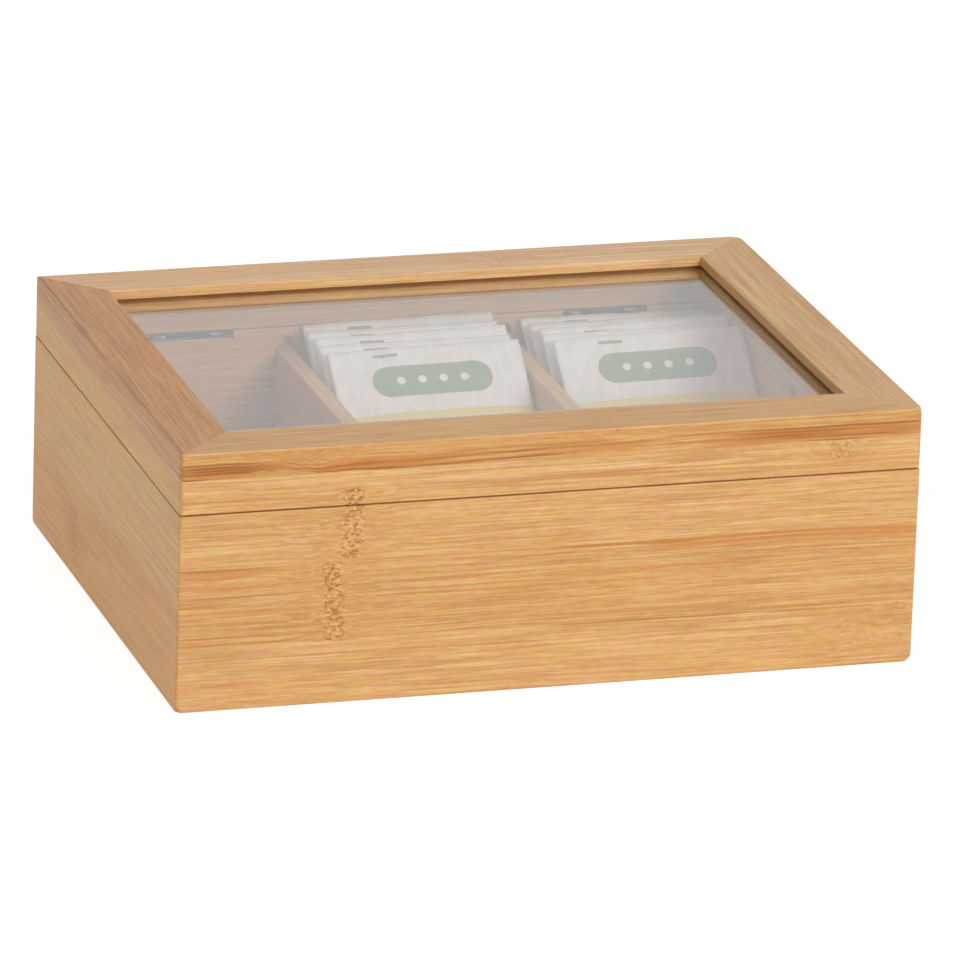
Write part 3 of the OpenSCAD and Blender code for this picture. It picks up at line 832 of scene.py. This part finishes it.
@dataclass
class SachetStacks:
    """The two stacks of tea sachets, which stand in the rear compartments.

    The sizes are metres and degrees, and repeat those of the solids that the
    sachets stand for. lumps, waves and ripples give the unevenness of the paper.
    """

    bays: tuple[Bay, ...] = (
        Bay("centre", -32.133 * MM, 29.533 * MM, 6.8 * MM, 0.9, (0.6, 0.6), 0),
        Bay("right", 34.533 * MM, 97.5 * MM, 6.1 * MM, -0.5, (-0.4, 1.0), 7))
    width: float = 57.867 * MM
    height: float = 68.0 * MM
    top_pitch: float = 6.8 * MM
    edge: float = 0.8 * MM
    clearance: float = 0.3 * MM
    bow: float = 26.0
    tilt: float = 0.9
    rear_wall: float = 73.0 * MM
    cross_divider: float = 2.5 * MM
    floor: float = 4.0 * MM
    count: int = 5
    paper: float = 0.24 * MM
    fill: float = 3.8 * MM
    side_seal: float = 4.6 * MM
    end_seal: float = 6.0 * MM
    stagger: float = 0.9
    lumps: float = 0.07
    waves: float = 0.16 * MM
    ripples: float = 0.09 * MM
    grid: tuple[int, int] = (52, 46)

    def build(self, finish: bpy.types.Material) -> None:
        """Builds every sachet and lets it stand for its solid.

        Args:
            finish: the paper's material.
        """
        for bay in self.bays:
            for number in range(1, self.count + 1):
                piece = self._sachet(bay, number, finish)
                node = f"sachet_{bay.name}_{number}"
                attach(piece, "box")
                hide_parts(node)
                log.info("%s stands for %s", piece.name, node)

    def _foot(self, bay: Bay, number: int) -> float:
        """Place of a sachet's foot, front to back."""
        first = self.cross_divider + self.clearance + self.edge / 2
        return first + (self.count - number) * bay.foot_pitch

    def _lean(self, bay: Bay, number: int) -> float:
        """Lean of a sachet in radians: asin((place of its top - place of its foot) / height)."""
        top = self.rear_wall - self.clearance - self.edge / 2 - (number - 1) * self.top_pitch
        return math.asin((top - self._foot(bay, number)) / self.height)

    def _place(self, bay: Bay, number: int) -> tuple[float, float, float, float]:
        """Gives the foot of a sachet and its tilt.

        Args:
            bay: its compartment.
            number: its number in the stack, 1 at the rear.

        Returns:
            x, y and z of the middle of its foot, and its tilt in radians.
        """
        lean = self._lean(bay, number)
        upright = self.height * math.cos(lean)
        tilt = math.radians(bay.rear_tilt if number == 1 else number % 2 * self.tilt)
        room = upright * math.sin(math.radians(self.tilt))
        rear, others = bay.slides
        share = (rear if number == 1 else others) - (1 - number % 2) * self.stagger
        play = (bay.right - bay.left - self.width - room) / 2 - self.clearance
        x = (bay.left + bay.right) / 2 + share * play
        x += upright * math.sin(tilt) / 2
        z = self.floor + self.clearance + self.edge / 2 * math.sin(lean)
        z += self.width / 2 * math.sin(abs(tilt))
        return x, self._foot(bay, number), z, tilt

    def _sheet(self, side: int, lean: float, rng: np.random.Generator) -> np.ndarray:
        """Works out one face of a sachet over its own width and height.

        The middle line is an arc: at share s of the height its angle from the
        vertical is lean + bow (s - 1/2), and the point is
        r (cos a0 - cos a, sin a - sin a0). The face lies at half the thickness
        beside it, and the thickness is the paper plus a pillow
        fill (1 - |t| ** 3) (1 - |q| ** 3) ** 0.7 inside the seals, where t and
        q run from -1 to 1 over the width and height. Low waves that fade out
        at the foot make the edge of the paper uneven.

        Args:
            side: 1 for the front, -1 for the back.
            lean: lean of the sachet in radians.
            rng: random numbers of this sachet.

        Returns:
            Points as an array of rows, columns and x, y, z, foot at the origin.
        """
        rows, columns = self.grid
        s, t = np.meshgrid(np.linspace(0, 1, rows), np.linspace(-1, 1, columns), indexing="ij")
        bow = math.radians(self.bow)
        start = lean - bow / 2
        angle = start + bow * s
        radius = self.height / (2 * math.sin(bow / 2))
        across = np.clip(np.abs(t) * self.width / 2 / (self.width / 2 - self.side_seal), 0, 1)
        upward = np.clip(np.abs(2 * s - 1) * self.height / 2 / (self.height / 2 - self.end_seal), 0, 1)
        pillow = (1 - across ** 3) * (1 - upward ** 3) ** 0.7
        phases = rng.uniform(0, 2 * np.pi, 4)
        lumps = 1 + self.lumps * np.sin(3.1 * t * np.pi + phases[0]) * np.sin(4.3 * s * np.pi + phases[1])
        wave = self.waves * np.sin(2.3 * t * np.pi + phases[2]) * s ** 3
        wave += self.ripples * np.sin(5.1 * t * np.pi + phases[3]) * s ** 4
        offset = side * (self.paper / 2 + (self.fill - self.paper) / 2 * pillow * lumps) + wave
        y = radius * (math.cos(start) - np.cos(angle)) - offset * np.cos(angle)
        z = radius * (np.sin(angle) - math.sin(start)) + offset * np.sin(angle)
        return np.stack([t * self.width / 2, y, z], axis=-1)

    def _sachet(self, bay: Bay, number: int, finish: bpy.types.Material) -> bpy.types.Object:
        """Builds one sachet as a closed envelope.

        The two faces are grids that an edge strip joins round the rim. The
        front carries the print, and the back reads one unprinted place of it.

        Args:
            bay: its compartment.
            number: its number in the stack.
            finish: the paper's material.

        Returns:
            The new object.
        """
        seed = 10 * number + bay.seed
        lean = self._lean(bay, number)
        front = self._sheet(1, lean, np.random.default_rng(seed))
        back = self._sheet(-1, lean, np.random.default_rng(seed))
        x, y, z, tilt = self._place(bay, number)
        points = np.concatenate([front.reshape(-1, 3), back.reshape(-1, 3)])
        cosine, sine = math.cos(tilt), math.sin(tilt)
        turn = np.array([[cosine, 0, -sine], [0, 1, 0], [sine, 0, cosine]])
        points = points @ turn.T + np.array([x, y, z])
        rows, columns = self.grid
        index = np.arange(rows * columns).reshape(rows, columns)
        corners = (index[:-1, :-1], index[:-1, 1:], index[1:, 1:], index[1:, :-1])
        quads = np.stack(corners, axis=-1).reshape(-1, 4)
        behind = quads[:, ::-1] + rows * columns
        rim = np.concatenate([index[0, :], index[1:, -1], index[-1, -2::-1], index[-2:0:-1, 0]])
        following = np.roll(rim, -1)
        edge = np.stack([rim, rim + rows * columns, following + rows * columns, following], axis=-1)
        faces = np.concatenate([quads, behind, edge])
        mesh = bpy.data.meshes.new(f"sachet_paper_{bay.name}_{number}")
        mesh.from_pydata(points.tolist(), [], faces.tolist())
        down, right = np.meshgrid(np.linspace(1, 0, rows) * self.height,
                                  np.linspace(-0.5, 0.5, columns) * self.width, indexing="ij")
        printed = np.stack([right, down], axis=-1).reshape(-1, 2)
        plain = np.full_like(printed, (0.0, self.height / 2))
        loops = np.empty(len(mesh.loops), np.int32)
        mesh.loops.foreach_get("vertex_index", loops)
        uv = np.concatenate([printed, plain])[loops].astype(np.float32)
        mesh.uv_layers.new(name="sachet").data.foreach_set("uv", uv.ravel())
        mesh.polygons.foreach_set("use_smooth", np.ones(len(mesh.polygons), bool))
        mesh.materials.append(finish)
        mesh.update()
        return linked(mesh.name, mesh)


# ------------ box and lid


# Each streak: start, end, rise, fall, half, strength and depth of a Vein.
FRONT_VEINS = tuple(Vein(*sizes) for sizes in (
    (-112, -78, 41.5, 41.1, 0.4, 0.75, 0.3), (-112, -82, 40.3, 40.1, 1.2, 0.45),
    (-112, -84, 39.2, 39.0, 0.3, 0.5, 0.2), (-4, 44, 41.4, 40.9, 0.45, 0.85, 0.15),
    (24, 112, 41.3, 40.6, 0.5, 0.65, 0.05), (30, 112, 39.9, 39.3, 0.45, 0.6, 0.05),
    (46, 112, 38.2, 38.0, 0.35, 0.5, 0.1), (26, 112, 40.2, 39.8, 1.8, 0.28),
    (70, 112, 36.6, 36.4, 0.3, 0.45, 0.2), (-2, 62, 18.4, 18.0, 0.34, 0.7, 0.55),
    (-112, -66, 28.6, 27.6, 0.9, 0.4), (-112, -58, 21.6, 20.6, 0.35, 0.65, 0.2),
    (-112, -70, 19.6, 19.0, 0.35, 0.6, 0.15), (-112, -76, 36.4, 36.0, 0.6, 0.4),
    (-112, -74, 33.6, 33.0, 0.35, 0.5, 0.2), (-112, -84, 8.2, 7.4, 0.8, 0.3),
    (0, 70, 34.4, 33.6, 0.6, 0.35), (-4, 60, 21.6, 20.6, 0.5, 0.45), (70, 112, 16.0, 15.0, 1.6, 0.35),
    (60, 112, 17.8, 17.4, 0.35, 0.55, 0.15), (84, 112, 12.6, 11.6, 0.35, 0.5, 0.15),
    (-30, 30, 61.8, 62.4, 0.4, 0.45, 0.1), (0, 70, 61.6, 61.0, 0.4, 0.55, 0.1),
    (74, 112, 61.8, 61.2, 0.5, 0.45), (-90, -66, 64.4, 64.0, 0.4, 0.4, 0.2),
    (-112, -64, 61.4, 61.0, 0.35, 0.45, 0.1), (-50, 20, 45.6, 45.2, 0.3, 0.35, 0.1),
    (-46, 10, 31.0, 30.6, 0.3, 0.4, 0.1), (-50, 0, 14.6, 14.2, 0.3, 0.45, 0.25),
))
RAIL_VEINS = tuple(Vein(*sizes) for sizes in (
    (-112, -79, 69.9, 69.8, 2.0, 0.84, 0.24), (-97, -76, 70.2, 70.0, 1.0, 0.9, 0.5),
    (-112, -84, 70.9, 71.0, 0.24, 0.8, 0.75), (-112, -82, 69.2, 69.3, 0.24, 0.8, 0.75),
    (-112, -86, 70.1, 70.1, 0.2, 0.6, 0.9), (-112, -78, 71.8, 71.9, 0.28, 0.75, 0.8),
    (-114, -96, 67.9, 67.9, 0.24, 0.95, 1.0), (-80, -44, 69.6, 69.8, 0.46, 1.0, 0.95),
    (-50, 2, 69.8, 70.7, 0.42, 0.8, 0.5), (-76, -38, 68.5, 68.0, 0.4, 1.0, 0.75),
    (-44, 6, 68.1, 69.0, 0.36, 0.85, 0.5), (-74, -30, 69.1, 69.3, 1.2, 0.7),
    (-72, -20, 70.8, 71.0, 0.9, 0.6), (-34, 8, 71.8, 71.7, 0.3, 0.55, 0.3),
    (-2, 34, 70.7, 71.4, 0.38, 0.7, 0.35), (-2, 22, 71.6, 72.3, 0.38, 0.6, 0.25),
    (-10, 30, 70.0, 70.2, 1.4, 0.4), (28, 62, 69.8, 69.3, 0.42, 0.55, 0.2),
    (32, 56, 71.9, 71.6, 0.38, 0.6, 0.2), (44, 114, 70.1, 70.0, 2.0, 0.7, 0.1),
    (56, 88, 70.4, 70.2, 1.1, 0.7, 0.34), (50, 96, 70.9, 70.9, 0.22, 0.55, 0.55),
    (54, 92, 69.7, 69.6, 0.22, 0.5, 0.6), (62, 104, 69.0, 68.9, 0.2, 0.7, 0.6),
    (-82, -66, 70.6, 71.6, 0.22, 0.8, 0.85), (-81, -67, 71.4, 72.5, 0.2, 0.6, 0.7),
    (48, 114, 71.9, 71.8, 0.34, 0.8, 0.6), (72, 94, 67.9, 67.8, 0.24, 0.75, 0.7),
))
SIDE_VEINS = tuple(Vein(*sizes) for sizes in (
    (-90, 20, 28.0, 24.0, 2.4, 0.3), (-90, -20, 46.0, 44.5, 1.0, 0.25), (20, 46, 15.0, 13.0, 5.0, 0.5),
))
HONEY, CREAM, AMBER, TAWNY = (
    dict(zip(("pale", "middle", "warm", "dark"), (srgb(*tone) for tone in tones))) for tones in (
        ((228, 184, 128), (213, 163, 106), (197, 140, 84), (156, 100, 50)),
        ((246, 209, 162), (236, 191, 141), (224, 167, 114), (180, 124, 78)),
        ((220, 172, 118), (209, 151, 94), (195, 128, 72), (140, 86, 42)),
        ((227, 187, 125), (222, 171, 100), (208, 148, 77), (160, 108, 54))))


def dress(finish: Union[BambooFinish, PaneFinish, SteelFinish], *pieces: str) -> None:
    """Puts a finish on pieces of the frame.

    Args:
        finish: the finish.
        pieces: node names.
    """
    material = finish.build()
    for name in pieces:
        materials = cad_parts[name].data.materials
        materials.clear()
        materials.append(material)
        log.info("%s wears %s", name, material.name)


@dataclass
class Walls:
    """The four walls, which run from the tray up into the lid's rim. Sizes are millimetres."""

    strips: tuple[float, ...] = (19.0, 41.7, 62.7)
    side_fade: tuple[float, float] = (19.0, 34.0)

    def build(self) -> None:
        """Dresses the front, side and rear walls."""
        front = BambooFinish(
            "bamboo_front_boards", Grain.ALONG_X, 3.0, edges=self.strips, veins=FRONT_VEINS,
            knuckles=(Knuckle(-58.6, -57.6, 42.4, 62.9), Knuckle(-62.4, -63.6, 18.4, 41.6, 3.0),
                      Knuckle(83.6, 84.4, 62.2, 67.6, 4.2, 0.5), Knuckle(96.0, 99.0, 4.0, 18.6, 2.0, 0.0)))
        sides = BambooFinish(
            "bamboo_side_boards", Grain.ALONG_Y, 37.0, edges=self.strips, edge_strength=0.12, contrast=0.8,
            knuckles=(Knuckle(31.0, 35.0, 4.0, 21.6, 4.4, 0.55, 1.1),), veins=SIDE_VEINS,
            side_tone=(0.99, 0.86, 0.64), tone_heights=self.side_fade, **TAWNY)
        rear = BambooFinish("bamboo_rear_boards", Grain.ALONG_X, 43.0, edges=self.strips, contrast=0.75,
                            knuckles=(Knuckle(40.0, 41.0, 19.4, 41.2),), **HONEY)
        dress(front, "front_panel", "lid_rim_front")
        dress(sides, "left_panel", "right_panel", "lid_rim_left", "lid_rim_right")
        dress(rear, "back_panel", "lid_rim_back")


@dataclass
class TrayInside:
    """The tray's dividers and floor, with the places of their glue lines in millimetres."""

    divider_strips: tuple[float, ...] = (26.5,)
    floor_strips: tuple[float, ...] = (-61.0, -38.5, -17.0, 5.0, 27.0, 49.0, 70.5)

    def build(self) -> None:
        """Dresses the dividers and the floor."""
        long = BambooFinish("bamboo_long_dividers", Grain.ALONG_Y, 53.0, edges=self.divider_strips)
        cross = BambooFinish("bamboo_cross_divider", Grain.ALONG_X, 59.0, edges=self.divider_strips)
        floor = BambooFinish("bamboo_floor_panel", Grain.ALONG_X, 67.0, Across.WIDTH, self.floor_strips)
        dress(long, "divider_left", "divider_right")
        dress(cross, "divider_cross")
        dress(floor, "floor_panel")


@dataclass
class LidFrame:
    """The lid's mitred rails and its pane. Sizes are millimetres."""

    rear_strips: tuple[float, ...] = (72.5,)
    left_strips: tuple[float, ...] = (-97.8,)
    # Painted shade on the left rail's top, along its rounded outer edge.
    left_edge_shade: tuple[float, float] = (-106.7, 0.50)
    right_strips: tuple[float, ...] = (98.6,)

    def build(self) -> None:
        """Dresses the rails and the pane."""
        front = BambooFinish(
            "bamboo_front_rail", Grain.ALONG_X, 11.0, veins=RAIL_VEINS, side_tone=(0.94, 0.90, 0.81),
            knuckles=(Knuckle(14.0, 16.0, 72.9, 76.0, 4.0, 0.16, 0.9),
                      Knuckle(-76.0, -74.0, 67.0, 75.0, 2.0, 0.0, 1.5)))
        # Painted light: side_tone lightens the rail's faces below its top, among them the inner face over the
        # pane, for light that the pane reflects onto it. The paler CREAM palette is the rail's own tone and
        # lifts that face as well.
        rear = BambooFinish(
            "bamboo_rear_rail", Grain.ALONG_X, 17.0, Across.WIDTH, self.rear_strips, gloss=0.42,
            knuckles=(Knuckle(28.0, 27.0, 66.0, 80.0, 3.0, 0.45),), side_tone=(1.13, 1.10, 0.94), **CREAM)
        left = BambooFinish("bamboo_left_rail", Grain.ALONG_Y, 23.0, Across.WIDTH, self.left_strips,
                            edge_shade=self.left_edge_shade, contrast=1.1, **AMBER)
        right = BambooFinish("bamboo_right_rail", Grain.ALONG_Y, 29.0, Across.WIDTH, self.right_strips,
                             gloss=0.46)
        for side, finish in (("front", front), ("back", rear), ("left", left), ("right", right)):
            dress(finish, f"lid_rail_{side}")
        dress(PaneFinish(), "window_pane")


@dataclass
class Hinges:
    """The two hinges and their screws.

    The steels are darker than bare plating, as painted shade: the lid leaves
    and pins darkest, for the dark line under the lid, and the right box leaf
    darker than the left. The screws are whitened as painted glints.
    """

    # Steel darkened as painted shade, for the left box leaf.
    plate: SteelFinish = SteelFinish("hinge_steel_plate", srgb(148, 132, 125), srgb(114, 101, 95), 0.34)
    # Painted shade: a darker, rougher copy for the right box leaf.
    roughened: SteelFinish = SteelFinish("hinge_steel_right_painted_shade", srgb(100, 86, 80), srgb(78, 67, 62), 0.46)
    # Painted shade: the darkest copy, for the lid leaves and pins, which makes the dark line under the lid.
    shaded: SteelFinish = SteelFinish("hinge_steel_shaded", srgb(108, 98, 97), srgb(86, 78, 78), 0.38)
    # Painted highlight: near-white, partly metallic screw heads that show as glints.
    painted_glint: SteelFinish = SteelFinish("screw_steel_painted_glint", srgb(244, 240, 240), srgb(216, 212, 214),
                                      0.26, 0.35)

    def build(self) -> None:
        """Dresses the leaves, pins and screws."""
        dress(self.plate, "hinge_left_box_leaf")
        dress(self.roughened, "hinge_right_box_leaf")
        dress(self.shaded, "hinge_left_lid_leaf", "hinge_left_pin", "hinge_right_lid_leaf", "hinge_right_pin")
        dress(self.painted_glint, "box_leaf_screws", "lid_leaf_screws")


# ------------ studio


@dataclass(frozen=True)
class Lamp:
    """A round lamp, in watts and metres, that mirrors may show or not."""

    name: str
    power: float
    size: float
    place: tuple[float, float, float]
    mirrored: bool

    def hang(self, aim: Vector) -> None:
        """Hangs the lamp at its place.

        Args:
            aim: the point that it shines at.
        """
        lamp = bpy.data.lights.new(self.name, "AREA")
        lamp.shape = "DISK"
        lamp.size = self.size
        lamp.energy = self.power
        holder = linked(self.name, lamp)
        holder.visible_glossy = self.mirrored
        turn = (aim - Vector(self.place)).to_track_quat("-Z", "Y")
        holder.matrix_world = Matrix.Translation(self.place) @ turn.to_matrix().to_4x4()


@dataclass
class Studio:
    """White floor, soft lamps and the camera. Sizes are metres and degrees."""

    azimuth: float = -17.14758261
    elevation: float = 18.68886735
    roll: float = 1.93957014
    distance: float = 2.5506
    target: tuple[float, float, float] = (0.003204, 0.0, 0.034003)
    focal: float = 8891.9 / 956 * 36
    ambient: float = 0.53
    mirrored: float = 0.88
    floor_half: float = 6.0
    floor_level: float = -0.02 * MM
    floor_tones: tuple[float, float] = (0.78, 0.30)
    floor_glow: float = 0.86
    lamp_aim: tuple[float, float, float] = (0.0, 0.0, 0.04)
    lamps: tuple[Lamp, ...] = (Lamp("key", 18.5, 0.65, (0.55, -1.75, 0.80), True),
                               Lamp("fill", 3.4, 1.0, (-1.65, -0.30, 0.35), False))

    def build(self) -> None:
        """Sets up the view transform, camera, world, floor and lamps."""
        bpy.context.scene.view_settings.view_transform = "Standard"
        self._camera()
        self._world()
        self._floor()
        for lamp in self.lamps:
            lamp.hang(Vector(self.lamp_aim))

    def _camera(self) -> None:
        """Places the camera on a sphere round the target and rolls it about its own axis."""
        az, el, roll = (math.radians(v) for v in (self.azimuth, self.elevation, self.roll))
        back = Vector((math.sin(az) * math.cos(el), -math.cos(az) * math.cos(el), math.sin(el)))
        level = Vector((0, 0, 1)).cross(back).normalized()
        upright = back.cross(level)
        right = math.cos(roll) * level + math.sin(roll) * upright
        up = -math.sin(roll) * level + math.cos(roll) * upright
        data = bpy.data.cameras.new("camera")
        data.lens = self.focal
        data.sensor_width = 36
        data.clip_end = 50
        camera = linked("camera", data)
        pose = Matrix((right, up, back)).transposed().to_4x4()
        pose.translation = Vector(self.target) + back * self.distance
        camera.matrix_world = pose
        bpy.context.scene.camera = camera

    def _world(self) -> None:
        """Makes the surroundings white where they are seen, and a plain soft light elsewhere."""
        world = bpy.data.worlds.new("studio")
        bpy.context.scene.world = world
        board = NodeBoard(world)
        strength = board.math("MULTIPLY_ADD", board.seen(self.mirrored), 1.0 - self.ambient, self.ambient)
        board.surface(board.add("Background", Color=(1.0, 1.0, 1.0), Strength=strength))

    def _floor(self) -> None:
        """Lays a white floor that keeps a faint shadow of the box."""
        mesh = bpy.data.meshes.new("floor")
        corners = [(x * self.floor_half, y * self.floor_half, self.floor_level)
                   for x, y in ((-1, -1), (1, -1), (1, 1), (-1, 1))]
        mesh.from_pydata(corners, [], [(0, 1, 2, 3)])
        board = NodeBoard(bpy.data.materials.new("studio_floor"))
        seen = board.seen(self.mirrored)
        plain, dimmed = ((tone,) * 3 for tone in self.floor_tones)
        diffuse = board.add("BsdfDiffuse", Color=board.mix(seen, plain, dimmed))
        glow = board.add("Emission", Color=(1.0, 1.0, 1.0),
                         Strength=board.product(seen, self.floor_glow))
        both = board.add("AddShader")
        board.plug(both.inputs[0], diffuse.outputs[0])
        board.plug(both.inputs[1], glow.outputs[0])
        mesh.materials.append(board.surface(both))
        floor = linked("floor", mesh)


def main() -> None:
    """Builds the studio, dresses the box and adds the sachets, in that order."""
    logging.basicConfig(level=logging.INFO, format="%(name)s: %(message)s")
    for part in (Studio(), Walls(), TrayInside(), LidFrame(), Hinges()):
        part.build()
    SachetStacks().build(PaperFinish().build())


if __name__ == "__main__":
    main()
